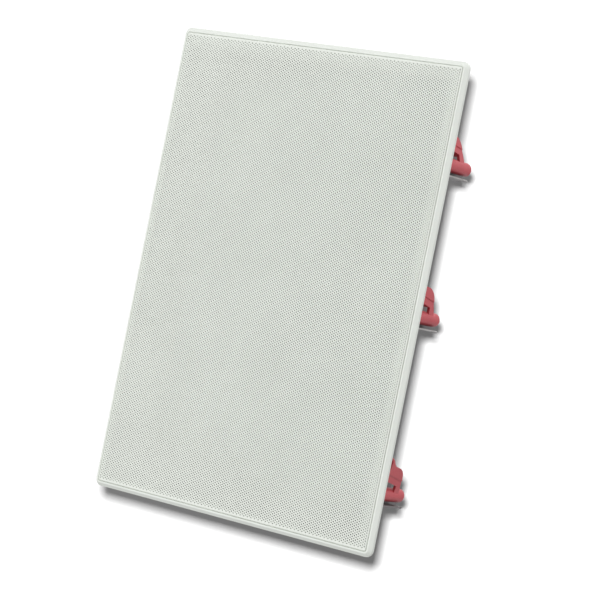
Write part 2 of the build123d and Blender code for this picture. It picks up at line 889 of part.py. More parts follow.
with BuildPart() as woofer_tags:
    with BuildSketch(wall_plane(seat_rear + tag_board_thickness)):
        with Locations((0, tag_z)):
            with GridLocations(tag_spacing, 0, 2, 1):
                Rectangle(tag_width, tag_thickness)
    extrude(amount=tag_length)

driver_screw = pan_screw(screw_radius, driver_screw_length, screw_head_radius, screw_head_height)
with BuildPart() as woofer_screws:
    with Locations(room_plane(basket_front)):
        with Locations((0, woofer_z)):
            with PolarLocations(woofer_screw_circle, woofer_screw_count, 180 / woofer_screw_count):
                add(driver_screw)

# Tweeter: faceplate with a short horn, metal dome on a cloth roll, and its magnet system
plate_face = mount_depth - faceplate_thickness
throat_depth = plate_face + horn_depth
collar_rear = throat_depth + horn_wall
with BuildPart() as tweeter_faceplate:
    with BuildSketch(tweeter_section):
        with BuildLine():
            Polyline(
                (horn_throat, throat_depth),
                (horn_mouth, plate_face),
                (faceplate_radius - faceplate_edge, plate_face),
                (faceplate_radius, plate_face + faceplate_edge),
                (faceplate_radius, mount_depth),
                (faceplate_collar, mount_depth),
                (faceplate_collar, collar_rear),
                (faceplate_collar - collar_wall, collar_rear),
                (faceplate_collar - collar_wall, plate_face + horn_wall),
                (horn_throat + horn_wall, throat_depth + horn_wall / 2),
                (horn_throat + horn_wall, collar_rear),
                (horn_throat, collar_rear),
                close=True,
            )
        make_face()
    revolve(axis=tweeter_axis)
    with BuildSketch(room_plane(mount_depth)):
        with Locations((0, tweeter_z)):
            with PolarLocations(tweeter_screw_circle, tweeter_screw_count, 180 / tweeter_screw_count):
                Circle(screw_radius + running_clearance)
    extrude(amount=faceplate_thickness, mode=Mode.SUBTRACT)

with BuildPart() as tweeter_screws:
    with Locations(room_plane(plate_face)):
        with Locations((0, tweeter_z)):
            with PolarLocations(tweeter_screw_circle, tweeter_screw_count, 180 / tweeter_screw_count):
                add(driver_screw)

dome_edge = dome_radius - dome_lip
dome_rear = collar_rear + dome_thickness
dome_apex = collar_rear - dome_rise
with BuildPart() as tweeter_dome:
    with BuildSketch(tweeter_section):
        with BuildLine():
            TangentArc((0, dome_apex), (dome_edge, collar_rear), tangent=(1, 0))
            Polyline(
                (dome_edge, collar_rear),
                (dome_radius, collar_rear),
                (dome_radius, dome_rear),
                (dome_edge - dome_thickness, dome_rear),
            )
            TangentArc(
                (0, dome_apex + dome_thickness),
                (dome_edge - dome_thickness, dome_rear),
                tangent=(1, 0),
            )
            Line((0, dome_apex + dome_thickness), (0, dome_apex))
        make_face()
    revolve(axis=tweeter_axis)

tweeter_roll_middle = (dome_radius + tweeter_roll_outer) / 2
tweeter_roll_height = (tweeter_roll_outer - dome_radius) / 2
with BuildPart() as tweeter_surround:
    with BuildSketch(tweeter_section):
        with BuildLine():
            Polyline(
                (tweeter_roll_outer, collar_rear),
                (tweeter_lip, collar_rear),
                (tweeter_lip, dome_rear),
                (tweeter_roll_outer - dome_thickness, dome_rear),
            )
            ThreePointArc(
                (tweeter_roll_outer - dome_thickness, dome_rear),
                (tweeter_roll_middle, dome_rear - tweeter_roll_height),
                (dome_radius + dome_thickness, dome_rear),
            )
            Polyline(
                (dome_radius + dome_thickness, dome_rear),
                (dome_radius, dome_rear),
                (dome_radius, collar_rear),
            )
            ThreePointArc(
                (dome_radius, collar_rear),
                (tweeter_roll_middle, collar_rear - tweeter_roll_height),
                (tweeter_roll_outer, collar_rear),
            )
        make_face()
    revolve(axis=tweeter_axis)

with BuildPart() as tweeter_voice_coil:
    with BuildSketch(wall_plane(dome_rear)):
        with Locations((0, tweeter_z)):
            Circle(dome_radius)
            Circle(tweeter_coil_inner, mode=Mode.SUBTRACT)
    extrude(amount=tweeter_coil_length)

tweeter_plate_rear = dome_rear + tweeter_plate_thickness
tweeter_ring_rear = tweeter_plate_rear + tweeter_magnet_height
with BuildPart() as tweeter_top_plate:
    with BuildSketch(wall_plane(dome_rear)):
        with Locations((0, tweeter_z)):
            Circle(tweeter_plate_radius)
            Circle(tweeter_gap_outer, mode=Mode.SUBTRACT)
    extrude(amount=tweeter_plate_thickness)

with BuildPart() as tweeter_magnet:
    with BuildSketch(wall_plane(tweeter_plate_rear)):
        with Locations((0, tweeter_z)):
            Circle(tweeter_magnet_outer)
            Circle(tweeter_magnet_inner, mode=Mode.SUBTRACT)
    extrude(amount=tweeter_magnet_height)

with BuildPart() as tweeter_back_plate:
    with BuildSketch(wall_plane(tweeter_ring_rear)):
        with Locations((0, tweeter_z)):
            Circle(tweeter_back_radius)
    extrude(amount=tweeter_back_thickness)
    chamfer(tweeter_back_plate.faces().sort_by(Axis.Y)[-1].edges(), plate_chamfer)
    with BuildSketch(room_plane(tweeter_ring_rear)):
        with Locations((0, tweeter_z)):
            Circle(tweeter_pole_radius)
    extrude(amount=tweeter_ring_rear - dome_rear - tweeter_pole_setback)

# Crossover board on its standoffs, with coils, capacitors and a resistor
board_front = floor_rear + board_standoff
board_rear = board_front + board_thickness
with BuildPart() as crossover_board:
    with BuildSketch(wall_plane(board_front)):
        with Locations((-board_x, board_z)):
            Rectangle(board_width, board_height)
        with Locations(*[(-x, z) for x, z in board_hole_points]):
            Circle(screw_radius + running_clearance, mode=Mode.SUBTRACT)
    extrude(amount=board_thickness)

with BuildPart() as board_screws:
    with Locations(wall_plane(board_rear)):
        with Locations(*[(-x, z) for x, z in board_hole_points]):
            add(pan_screw(screw_radius, board_screw_length, screw_head_radius, screw_head_height))

coil_seats = {
    "woofer": (board_z - woofer_coil_drop, woofer_coil_radius, woofer_coil_height),
    "tweeter": (board_z + tweeter_coil_lift, tweeter_coil_radius, tweeter_coil_height),
}
tweeter_coil_x = -board_x - tweeter_coil_shift
coil_columns = {"woofer": -board_x, "tweeter": tweeter_coil_x}
with BuildPart() as inductor_bobbins:
    for driver, (level, radius, height) in coil_seats.items():
        with BuildSketch(wall_plane(board_rear)):
            with Locations((coil_columns[driver], level)):
                Circle(radius)
        extrude(amount=bobbin_flange)
        with BuildSketch(wall_plane(board_rear + bobbin_flange)):
            with Locations((coil_columns[driver], level)):
                Circle(bobbin_core)
        extrude(amount=height)
        with BuildSketch(wall_plane(board_rear + bobbin_flange + height)):
            with Locations((coil_columns[driver], level)):
                Circle(radius)
        extrude(amount=bobbin_flange)

coils = {}
for driver, (level, radius, height) in coil_seats.items():
    with BuildPart() as coil:
        with BuildSketch(wall_plane(board_rear + bobbin_flange + winding_gap / 2)):
            with Locations((coil_columns[driver], level)):
                Circle(radius - bobbin_flange)
                Circle(bobbin_core + winding_gap, mode=Mode.SUBTRACT)
        extrude(amount=height - winding_gap)
    coils[driver] = coil

capacitors = {}
for driver, radius, length, shift in (
    ("woofer", woofer_cap_radius, woofer_cap_length, woofer_cap_shift),
    ("tweeter", tweeter_cap_radius, tweeter_cap_length, tweeter_cap_shift),
):
    with BuildPart() as capacitor:
        with BuildSketch(Plane.XY.offset(board_z + cap_lift)):
            with Locations((board_x + shift, board_rear + radius)):
                Circle(radius)
        extrude(amount=length / 2, both=True)
        chamfer(capacitor.edges().filter_by(GeomType.CIRCLE), cap_bevel)
    capacitors[driver] = capacitor

with BuildPart() as crossover_resistor:
    with BuildSketch(wall_plane(board_rear)):
        with Locations((-board_x - tweeter_cap_shift, board_z + resistor_lift)):
            Rectangle(resistor_section, resistor_length)
    extrude(amount=resistor_section)
    chamfer(crossover_resistor.edges().filter_by(Axis.Z), resistor_bevel)

# Push terminals: pressing a button lines up its wire hole with the one in the post
posts = {"red": -post_spacing / 2, "black": post_spacing / 2}
post_rear = floor_rear + terminal_base + post_height
hole_depth = floor_rear + terminal_base + wire_hole_level
with BuildPart() as terminal_block:
    with BuildSketch(wall_plane(floor_rear)):
        with Locations((-terminal_x, terminal_z)):
            RectangleRounded(terminal_width, terminal_height, terminal_corner)
    extrude(amount=terminal_base)
    for shift in posts.values():
        with BuildSketch(wall_plane(floor_rear + terminal_base)):
            with Locations((-terminal_x + shift, terminal_z)):
                Circle(post_radius)
        extrude(amount=post_height)
        with BuildSketch(wall_plane(floor_rear + post_floor)):
            with Locations((-terminal_x + shift, terminal_z)):
                Circle(stem_radius + running_clearance)
        extrude(amount=terminal_base + post_height - post_floor, mode=Mode.SUBTRACT)
        with BuildSketch(Plane.XY.offset(terminal_z)):
            with Locations((terminal_x - shift, hole_depth)):
                Circle(wire_hole_radius)
        extrude(amount=post_radius, both=True, mode=Mode.SUBTRACT)

buttons = {}
for colour, shift in posts.items():
    with BuildPart() as button:
        with BuildSketch(wall_plane(post_rear + button_travel)):
            with Locations((-terminal_x + shift, terminal_z)):
                Circle(button_radius)
        extrude(amount=button_height)
        chamfer(button.faces().sort_by(Axis.Y)[-1].edges(), button_bevel)
        with BuildSketch(room_plane(post_rear + button_travel)):
            with Locations((terminal_x - shift, terminal_z)):
                Circle(stem_radius)
        extrude(amount=stem_length)
        with BuildSketch(Plane.XY.offset(terminal_z)):
            with Locations((terminal_x - shift, hole_depth + button_travel)):
                Circle(wire_hole_radius)
        extrude(amount=post_radius, both=True, mode=Mode.SUBTRACT)
    buttons[colour] = button

# Coil spring under each button, between its stem and the floor of its post
spring_radius = stem_radius - spring_gap - spring_wire
spring_front = floor_rear + post_floor + spring_wire
spring_rear = post_rear + button_travel - stem_length - spring_wire
springs = {}
for colour, shift in posts.items():
    with BuildPart() as spring:
        with BuildLine() as turns:
            Helix(
                (spring_rear - spring_front) / spring_turns,
                spring_rear - spring_front,
                spring_radius,
                center=(terminal_x - shift, spring_front, terminal_z),
                direction=(0, 1, 0),
            )
        with BuildSketch(Plane(origin=turns.line @ 0, z_dir=turns.line % 0)):
            Circle(spring_wire)
        sweep()
    springs[colour] = spring

pieces = {
    "frame": frame,
    "grille": grille,
    "grille_scrim": grille_scrim,
    "grille_magnets": grille_magnets,
    "baffle": baffle,
    "frame_screws": frame_screws,
    "woofer_basket": woofer_basket,
    "woofer_surround": woofer_surround,
    "woofer_gasket": woofer_gasket,
    "woofer_spider": woofer_spider,
    "woofer_cone": woofer_cone,
    "woofer_dust_cap": woofer_dust_cap,
    "woofer_coil_former": woofer_coil_former,
    "woofer_voice_coil": woofer_voice_coil,
    "woofer_top_plate": woofer_top_plate,
    "woofer_magnet": woofer_magnet,
    "woofer_back_plate": woofer_back_plate,
    "woofer_tag_board": woofer_tag_board,
    "woofer_tags": woofer_tags,
    "woofer_screws": woofer_screws,
    "tweeter_faceplate": tweeter_faceplate,
    "tweeter_screws": tweeter_screws,
    "tweeter_dome": tweeter_dome,
    "tweeter_surround": tweeter_surround,
    "tweeter_voice_coil": tweeter_voice_coil,
    "tweeter_top_plate": tweeter_top_plate,
    "tweeter_magnet": tweeter_magnet,
    "tweeter_back_plate": tweeter_back_plate,
    "crossover_board": crossover_board,
    "board_screws": board_screws,
    "inductor_bobbins": inductor_bobbins,
    "woofer_inductor": coils["woofer"],
    "tweeter_inductor": coils["tweeter"],
    "woofer_capacitor": capacitors["woofer"],
    "tweeter_capacitor": capacitors["tweeter"],
    "crossover_resistor": crossover_resistor,
    "terminal_block": terminal_block,
    "terminal_button_red": buttons["red"],
    "terminal_button_black": buttons["black"],
    "terminal_spring_red": springs["red"],
    "terminal_spring_black": springs["black"],
}
for name, piece in pieces.items():
    piece.part.label = name
    export_step(piece.part, f"parts/{name}.step")

for name, (side, level, turn, slide) in clamps.items():
    for kind, piece, shift in (("clamp", clamp_dog, slide), ("clamp_screw", clamp_screw, 0)):
        copy = piece.part.moved(clamp_place(side, level, turn, shift))
        copy.label = f"{kind}_{name}"
        export_step(copy, f"parts/{kind}_{name}.step")
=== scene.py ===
import bpy
import bmesh
import json
import math
import numpy as np
from mathutils import Matrix, Vector


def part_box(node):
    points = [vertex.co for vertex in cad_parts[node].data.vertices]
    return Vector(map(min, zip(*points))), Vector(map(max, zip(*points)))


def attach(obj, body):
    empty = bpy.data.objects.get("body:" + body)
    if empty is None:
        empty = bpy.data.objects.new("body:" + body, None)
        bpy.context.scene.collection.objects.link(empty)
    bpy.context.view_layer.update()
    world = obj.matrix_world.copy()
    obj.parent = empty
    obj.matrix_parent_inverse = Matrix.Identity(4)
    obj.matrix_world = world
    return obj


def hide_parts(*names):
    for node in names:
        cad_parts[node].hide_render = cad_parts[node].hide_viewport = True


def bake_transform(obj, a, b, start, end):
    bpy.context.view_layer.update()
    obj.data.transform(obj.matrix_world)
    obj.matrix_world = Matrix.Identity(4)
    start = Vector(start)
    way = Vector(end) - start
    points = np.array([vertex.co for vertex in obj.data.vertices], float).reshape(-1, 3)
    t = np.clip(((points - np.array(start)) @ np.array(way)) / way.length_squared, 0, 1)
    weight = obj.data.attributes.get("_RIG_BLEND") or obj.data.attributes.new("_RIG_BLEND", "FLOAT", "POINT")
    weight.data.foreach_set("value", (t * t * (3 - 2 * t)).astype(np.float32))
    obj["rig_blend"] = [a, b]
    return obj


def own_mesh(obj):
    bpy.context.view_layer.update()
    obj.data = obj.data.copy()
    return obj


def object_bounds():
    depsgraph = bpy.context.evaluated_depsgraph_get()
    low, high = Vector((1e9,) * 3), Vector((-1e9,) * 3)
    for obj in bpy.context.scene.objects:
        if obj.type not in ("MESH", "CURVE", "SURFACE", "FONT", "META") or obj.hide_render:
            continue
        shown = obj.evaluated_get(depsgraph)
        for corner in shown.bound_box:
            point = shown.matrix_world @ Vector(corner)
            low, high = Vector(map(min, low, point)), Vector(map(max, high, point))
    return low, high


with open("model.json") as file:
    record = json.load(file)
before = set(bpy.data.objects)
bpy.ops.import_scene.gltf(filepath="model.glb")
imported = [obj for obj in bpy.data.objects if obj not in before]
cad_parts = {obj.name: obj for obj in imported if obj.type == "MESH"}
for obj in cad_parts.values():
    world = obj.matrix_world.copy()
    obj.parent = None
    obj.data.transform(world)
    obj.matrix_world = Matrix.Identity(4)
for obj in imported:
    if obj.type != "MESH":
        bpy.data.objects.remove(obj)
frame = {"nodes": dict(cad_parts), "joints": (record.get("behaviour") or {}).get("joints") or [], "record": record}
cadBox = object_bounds()
mm = 0.001
nodes = frame["nodes"]
print("frame loaded:", len(nodes), "nodes")


# camera, worked out from the four corners of the flange in the photograph
photoCamera = {
    "yawDeg": 35.498,  # to the right of the speaker's own axis
    "pitchDeg": 0.047,
    "rollDeg": -11.383,  # the speaker leans in the picture
    "rightMm": -17.80,  # the speaker's middle, beside the optical axis
    "upMm": 13.69,
    "distanceMm": 1910.6,
    "lensMm": 149.4,
    "sensorMm": 36.0,
}
viewTurn = (
    Matrix.Rotation(math.radians(photoCamera["yawDeg"]), 4, "Z")
    @ Matrix.Rotation(math.radians(photoCamera["pitchDeg"]), 4, "X")
    @ Matrix.Rotation(math.radians(photoCamera["rollDeg"]), 4, "Y")
)
eyeOffset = Vector((-photoCamera["rightMm"], -photoCamera["distanceMm"], -photoCamera["upMm"]))
cameraData = bpy.data.cameras.new("photoCamera")
cameraData.lens = photoCamera["lensMm"]
cameraData.sensor_width = photoCamera["sensorMm"]
cameraObject = bpy.data.objects.new("photoCamera", cameraData)
cameraObject.matrix_world = (
    Matrix.Translation(viewTurn @ eyeOffset * mm) @ viewTurn @ Matrix.Rotation(math.radians(90), 4, "X")
)
bpy.context.scene.collection.objects.link(cameraObject)
bpy.context.scene.camera = cameraObject
bpy.context.scene.view_settings.view_transform = "Standard"
print("camera placed")


def srgb(hexColour):
    channels = [int(hexColour[i:i + 2], 16) / 255 for i in (0, 2, 4)]
    linear = [c / 12.92 if c <= 0.04045 else ((c + 0.055) / 1.055) ** 2.4 for c in channels]
    return (*linear, 1.0)


def addNode(tree, kind, inputs=None, **settings):
    node = tree.nodes.new(kind)
    for name, value in settings.items():
        setattr(node, name, value)
    for socket, value in (inputs or {}).items():
        if isinstance(value, bpy.types.NodeSocket):
            tree.links.new(value, node.inputs[socket])
        else:
            node.inputs[socket].default_value = value
    return node


noiseSpan = (0.3, 0.7)  # most of a noise texture's values lie between these
glossSwing = 0.06  # how far a roughness strays either way
waveLength = 0.314  # metres from crest to crest in a wave texture of scale 1


# a colour that drifts a little, a fine surface grit and a roughness that follows it
def startFinish(name, look):
    finish = bpy.data.materials.new(name)
    finish.use_nodes = True
    tree = finish.node_tree
    shader = tree.nodes["Principled BSDF"]
    shader.inputs["Metallic"].default_value = look.get("metallic", 0.0)
    if "ior" in look:
        shader.inputs["IOR"].default_value = look["ior"]
    place = addNode(tree, "ShaderNodeTexCoord", name="place").outputs["Object"]
    drift = addNode(
        tree, "ShaderNodeTexNoise",
        {"Vector": place, "Scale": 1 / (look["driftMm"] * mm), "Detail": 4.0, "Roughness": 0.55},
    )
    tone = addNode(tree, "ShaderNodeValToRGB", {"Fac": drift.outputs["Fac"]}, name="tone")
    for stop, position, colour in zip(tone.color_ramp.elements, noiseSpan, (look["dark"], look["light"])):
        stop.position = position
        stop.color = srgb(colour)
    tree.links.new(tone.outputs["Color"], shader.inputs["Base Color"])
    grit = addNode(
        tree, "ShaderNodeTexNoise",
        {"Vector": place, "Scale": 1 / (look["gritMm"] * mm), "Detail": 3.0, "Roughness": 0.6},
    )
    gloss = addNode(
        tree, "ShaderNodeMapRange",
        {"Value": grit.outputs["Fac"], "From Min": noiseSpan[0], "From Max": noiseSpan[1],
         "To Min": look["roughness"] - glossSwing, "To Max": look["roughness"] + glossSwing},
    )
    tree.links.new(gloss.outputs["Result"], shader.inputs["Roughness"])
    bump = addNode(
        tree, "ShaderNodeBump",
        {"Height": grit.outputs["Fac"], "Strength": 1.0, "Distance": look["gritDepthMm"] * mm},
        name="bump",
    )
    tree.links.new(bump.outputs["Normal"], shader.inputs["Normal"])
    return finish


# ridges over the grit: threads that cross, or turns of wire, one set for each axis that they follow
def addRidges(finish, ridgeMm, depthMm, axes, **waver):
    tree = finish.node_tree
    sets = [
        addNode(
            tree, "ShaderNodeTexWave",
            {"Vector": tree.nodes["place"].outputs["Object"], "Scale": waveLength / (ridgeMm * mm), **waver},
            bands_direction=axis,
        ).outputs["Fac"]
        for axis in axes
    ]
    height = sets[0]
    for ridges in sets[1:]:
        height = addNode(tree, "ShaderNodeMath", {0: height, 1: ridges}, operation="MAXIMUM").outputs[0]
    ridgeBump = addNode(
        tree, "ShaderNodeBump",
        {"Height": height, "Distance": depthMm * mm, "Normal": tree.nodes["bump"].outputs["Normal"]},
    )
    tree.links.new(ridgeBump.outputs["Normal"], tree.nodes["Principled BSDF"].inputs["Normal"])


# moulded white ABS: an even satin white, with the faint grain of a spark-eroded mould
whiteAbsLook = {"light": "EBEFE9", "dark": "E6EAE3", "driftMm": 45, "gritMm": 1.6, "gritDepthMm": 0.02,
                "roughness": 0.42, "ior": 1.53}
whiteAbs = startFinish("mouldedWhiteAbs", whiteAbsLook)

# powder-coated steel: a dry white coat with a little orange peel, drawn coarse enough to show
whiteCoatLook = {"light": "EBEFE8", "dark": "E6EAE3", "driftMm": 60, "gritMm": 2.4, "gritDepthMm": 0.015,
                 "roughness": 0.5, "ior": 1.5}
whiteCoat = startFinish("powderCoatedSteel", whiteCoatLook)

# woven polyester behind the sheet, with painted light and shade: a painted shade darkens it over the box behind
# it, and a painted light makes it paler in a strip along each edge, where the white ledge lies behind it
scrimLook = {"light": "D2D6D1", "dark": "CACFC9", "driftMm": 30, "gritMm": 1.2, "gritDepthMm": 0.03,
             "roughness": 0.85, "ior": 1.5, "hollow": "2A2D2A", "threadMm": 0.6, "threadDepthMm": 0.05,
             "fadeShare": 0.9}
paintedPaleEdgeMm = {"left": 1.5, "right": 5.5, "bottom": 1.5, "top": 7.0}  # mean width of the painted pale strip, by edge
scrimCloth = startFinish("wovenPolyester", scrimLook)
tree = scrimCloth.node_tree
axes = addNode(tree, "ShaderNodeSeparateXYZ", {"Vector": tree.nodes["place"].outputs["Object"]})
clothLow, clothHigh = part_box("grille_scrim")
paintedShadeEdges = []
for axis, low, high, sides in (
    ("X", clothLow.x, clothHigh.x, ("left", "right")), ("Z", clothLow.z, clothHigh.z, ("bottom", "top")),
):
    for edge, inward, side in ((low, mm, sides[0]), (high, -mm, sides[1])):
        fade = paintedPaleEdgeMm[side] * scrimLook["fadeShare"]
        paintedShadeEdges.append(addNode(
            tree, "ShaderNodeMapRange",
            {"Value": axes.outputs[axis], "From Min": edge + (paintedPaleEdgeMm[side] - fade) * inward,
             "From Max": edge + (paintedPaleEdgeMm[side] + fade) * inward},
            interpolation_type="SMOOTHSTEP",
        ).outputs["Result"])
# painted shade mask: 1 over the middle, falling to 0 in the painted pale strips along the edges
hollow = paintedShadeEdges[0]
for edge in paintedShadeEdges[1:]:
    hollow = addNode(tree, "ShaderNodeMath", {0: hollow, 1: edge}, operation="MULTIPLY").outputs[0]
colourA, colourB, colourMixed = 6, 7, 2  # a Mix node's sockets for colours, told apart by place only
# the cloth's colour: painted shade over the middle, painted light along the edges
cloth = addNode(
    tree, "ShaderNodeMix",
    {"Factor": hollow, colourA: tree.nodes["tone"].outputs["Color"], colourB: srgb(scrimLook["hollow"])},
    data_type="RGBA",
)
tree.links.new(cloth.outputs[colourMixed], tree.nodes["Principled BSDF"].inputs["Base Color"])
addRidges(scrimCloth, scrimLook["threadMm"], scrimLook["threadDepthMm"], "XZ")

# nickel plate on the small magnets: a warm bright metal
nickelLook = {"light": "D2CEC4", "dark": "C4BFB4", "driftMm": 4, "gritMm": 0.8, "gritDepthMm": 0.004,
              "roughness": 0.24, "metallic": 1.0}
nickel = startFinish("nickelPlate", nickelLook)

# moulded grey ABS of the baffle: dark grey, dull, with a visible mould grain
greyAbsLook = {"light": "6E6A6B", "dark": "646061", "driftMm": 35, "gritMm": 1.8, "gritDepthMm": 0.035,
               "roughness": 0.55, "ior": 1.53}
greyAbs = startFinish("mouldedGreyAbs", greyAbsLook)

# the same grey ABS, paler and rougher: a painted highlight for the shelf lips
paintedHighlightAbsLook = {"light": "B4B2B1", "dark": "9E9C9B", "driftMm": 5, "gritMm": 0.9, "gritDepthMm": 0.03,
                 "roughness": 0.65, "ior": 1.53}
paintedHighlightAbs = startFinish("rubbedGreyAbs", paintedHighlightAbsLook)

# bright zinc plate: a bluish grey metal with soft cloudy patches
zincLook = {"light": "C7CACE", "dark": "BBBEC1", "driftMm": 9, "gritMm": 0.9, "gritDepthMm": 0.006,
            "roughness": 0.36, "metallic": 1.0}
zinc = startFinish("zincPlatedSteel", zincLook)

# moulded red nylon of the clamps: a dusty rose red with a satin skin
redNylonLook = {"light": "C64D55", "dark": "BD454E", "driftMm": 12, "gritMm": 1.4, "gritDepthMm": 0.03,
                "roughness": 0.45, "ior": 1.53}
redNylon = startFinish("mouldedRedNylon", redNylonLook)

# black dip paint on the pressed basket: near black, satin, with a slight orange peel
blackPaintLook = {"light": "222224", "dark": "19191B", "driftMm": 25, "gritMm": 2.2, "gritDepthMm": 0.04,
                  "roughness": 0.4, "ior": 1.5}
blackPaint = startFinish("blackDipPaint", blackPaintLook)

# butyl rubber of the roll: soft matt black with a grey bloom
rubberLook = {"light": "2B2B2C", "dark": "1C1C1D", "driftMm": 18, "gritMm": 1.2, "gritDepthMm": 0.03,
              "roughness": 0.68, "ior": 1.52}
rubber = startFinish("butylRubber", rubberLook)

# filled polypropylene cone: dark charcoal with a satin, slightly pebbled face
coneLook = {"light": "343537", "dark": "28292B", "driftMm": 10, "gritMm": 1.5, "gritDepthMm": 0.06,
            "roughness": 0.45, "ior": 1.49}
conePlastic = startFinish("filledPolypropylene", coneLook)

# resin-dipped cotton of the spider: amber brown with a coarse weave
spiderLook = {"light": "C29A57", "dark": "A97F40", "driftMm": 9, "gritMm": 0.8, "gritDepthMm": 0.03,
              "roughness": 0.7, "ior": 1.5, "threadMm": 1.2, "threadDepthMm": 0.12}
spiderCotton = startFinish("resinDippedCotton", spiderLook)
addRidges(spiderCotton, spiderLook["threadMm"], spiderLook["threadDepthMm"], "XZ")

# coated silk of the tweeter's roll: black with a low sheen
silkLook = {"light": "252526", "dark": "1B1B1C", "driftMm": 5, "gritMm": 0.7, "gritDepthMm": 0.02,
            "roughness": 0.5, "ior": 1.5}
coatedSilk = startFinish("coatedSilk", silkLook)

# polyimide film of the coil former: amber brown and glossy
filmLook = {"light": "C07A2C", "dark": "A8651F", "driftMm": 14, "gritMm": 2.5, "gritDepthMm": 0.01,
            "roughness": 0.22, "ior": 1.7}
polyimide = startFinish("polyimideFilm", filmLook)

# enamelled copper wire, wound in even layers: the turns are drawn coarse enough to show
copperLook = {"light": "C97A45", "dark": "B0622F", "driftMm": 7, "gritMm": 1.0, "gritDepthMm": 0.01,
              "roughness": 0.3, "metallic": 1.0, "wireMm": 0.9, "wireDepthMm": 0.22, "unevenness": 0.4}
copperWire = startFinish("enamelledCopper", copperLook)
addRidges(
    copperWire, copperLook["wireMm"], copperLook["wireDepthMm"], "Y",
    **{"Distortion": copperLook["unevenness"], "Detail Scale": 1.0},
)

# ground ferrite: dull charcoal with a coarse grain
ferriteLook = {"light": "47474A", "dark": "343436", "driftMm": 3, "gritMm": 1.1, "gritDepthMm": 0.08,
               "roughness": 0.72, "ior": 2.0}
ferrite = startFinish("groundFerrite", ferriteLook)

# pressed fibre board of the tag strip: red brown with a fine mottle
fibreLook = {"light": "8A4C32", "dark": "703A24", "driftMm": 2.5, "gritMm": 0.9, "gritDepthMm": 0.04,
             "roughness": 0.7, "ior": 1.5}
fibreBoard = startFinish("pressedFibreBoard", fibreLook)

# moulded black ABS of the tweeter's plate and the terminals: black with a fine satin grain
blackAbsLook = {"light": "262627", "dark": "1E1E1F", "driftMm": 20, "gritMm": 1.3, "gritDepthMm": 0.03,
                "roughness": 0.48, "ior": 1.53}
blackAbs = startFinish("mouldedBlackAbs", blackAbsLook)

# anodised aluminium dome: a pale satin metal
domeLook = {"light": "DADBDE", "dark": "CDCFD2", "driftMm": 6, "gritMm": 0.8, "gritDepthMm": 0.004,
            "roughness": 0.3, "metallic": 1.0}
domeMetal = startFinish("anodisedAluminium", domeLook)

# glass-fibre board under green solder mask: deep green and glossy
boardLook = {"light": "2F6B41", "dark": "27593A", "driftMm": 8, "gritMm": 1.6, "gritDepthMm": 0.03,
             "roughness": 0.32, "ior": 1.55}
glassBoard = startFinish("greenSolderMask", boardLook)

# heat-shrunk sleeve of the capacitors: navy blue and glossy
sleeveLook = {"light": "2A4780", "dark": "213A6C", "driftMm": 12, "gritMm": 2.8, "gritDepthMm": 0.03,
              "roughness": 0.28, "ior": 1.53}
shrunkSleeve = startFinish("shrunkSleeve", sleeveLook)

# cement body of the resistor: off-white and chalky, slightly pitted
cementLook = {"light": "E2DED2", "dark": "CFCABC", "driftMm": 3.5, "gritMm": 1.0, "gritDepthMm": 0.07,
              "roughness": 0.85, "ior": 1.55}
cement = startFinish("resistorCement", cementLook)

slotFinish = {
    "white_plastic": whiteAbs,
    "white_steel": whiteCoat,
    "white_cloth": scrimCloth,
    "nickel": nickel,
    "grey_plastic": greyAbs,
    "zinc_steel": zinc,
    "red_plastic": redNylon,
    "black_steel": blackPaint,
    "rubber": rubber,
    "cone": conePlastic,
    "spider_cloth": spiderCotton,
    "dome_cloth": coatedSilk,
    "former_film": polyimide,
    "copper": copperWire,
    "ferrite": ferrite,
    "tag_fibre": fibreBoard,
    "black_plastic": blackAbs,
    "dome_metal": domeMetal,
    "board": glassBoard,
    "capacitor_sleeve": shrunkSleeve,
    "resistor_ceramic": cement,
}
for subpart in frame["record"]["subparts"]:
    mesh = nodes[subpart["node"]].data
    mesh.materials.clear()
    mesh.materials.append(slotFinish[subpart["material_slot"]])
print("finishes made:", len(slotFinish))


def addObject(name, mesh, finish):
    mesh.materials.append(finish)
    made = bpy.data.objects.new(name, mesh)
    bpy.context.scene.collection.objects.link(made)
    return made


def addPiece(name, mesh, finish):
    piece = addObject(name, mesh, finish)
    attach(piece, "speaker")
    return piece


def bmeshToMesh(name, made):
    mesh = bpy.data.meshes.new(name)
    made.to_mesh(mesh)
    made.free()
    return mesh


weldGap = 1e-7  # metres; points nearer than this are one point
creaseDeg = 50  # edges sharper than this stay sharp where a surface is shaded smooth


# a skin over a row of closed outlines, each with as many points; endless joins the last outline to the first
def skinOutlines(name, outlines, endless=False, capped=False):
    skin = bmesh.new()
    rings = [[skin.verts.new(point) for point in outline] for outline in outlines]
    for before, behind in zip(rings, rings[1:] + rings[:1] if endless else rings[1:]):
        for k in range(len(before)):
            after = (k + 1) % len(before)
            skin.faces.new((before[k], before[after], behind[after], behind[k]))
    if capped:
        skin.faces.new(rings[0])
        skin.faces.new(rings[-1])
    bmesh.ops.remove_doubles(skin, verts=skin.verts[:], dist=weldGap)
    bmesh.ops.recalc_face_normals(skin, faces=skin.faces[:])
    return bmeshToMesh(name, skin)


# perforated sheet: round holes in a staggered pattern, one column half a pitch above the next
grilleSheet = {
    "pitchMm": 2.0,  # centre to centre, along the columns
    "holeMm": 1.25,
    "sheetMm": 0.8,
    "columns": 150,
    "rows": 180,
    "panels": 6,  # strips of columns, so that no one mesh is too heavy
    "holeSides": 8,
}
grilleLow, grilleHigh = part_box("grille")
sheetFront = grilleLow.y
sheetRear = sheetFront + grilleSheet["sheetMm"] * mm
columnStep = grilleSheet["pitchMm"] * math.sqrt(3) / 2 * mm
rowStep = grilleSheet["pitchMm"] * mm
fieldWidth = grilleSheet["columns"] * columnStep
fieldHeight = (grilleSheet["rows"] + 0.5) * rowStep
halfX, halfZ = columnStep / 2, rowStep / 2
holeSides = grilleSheet["holeSides"]
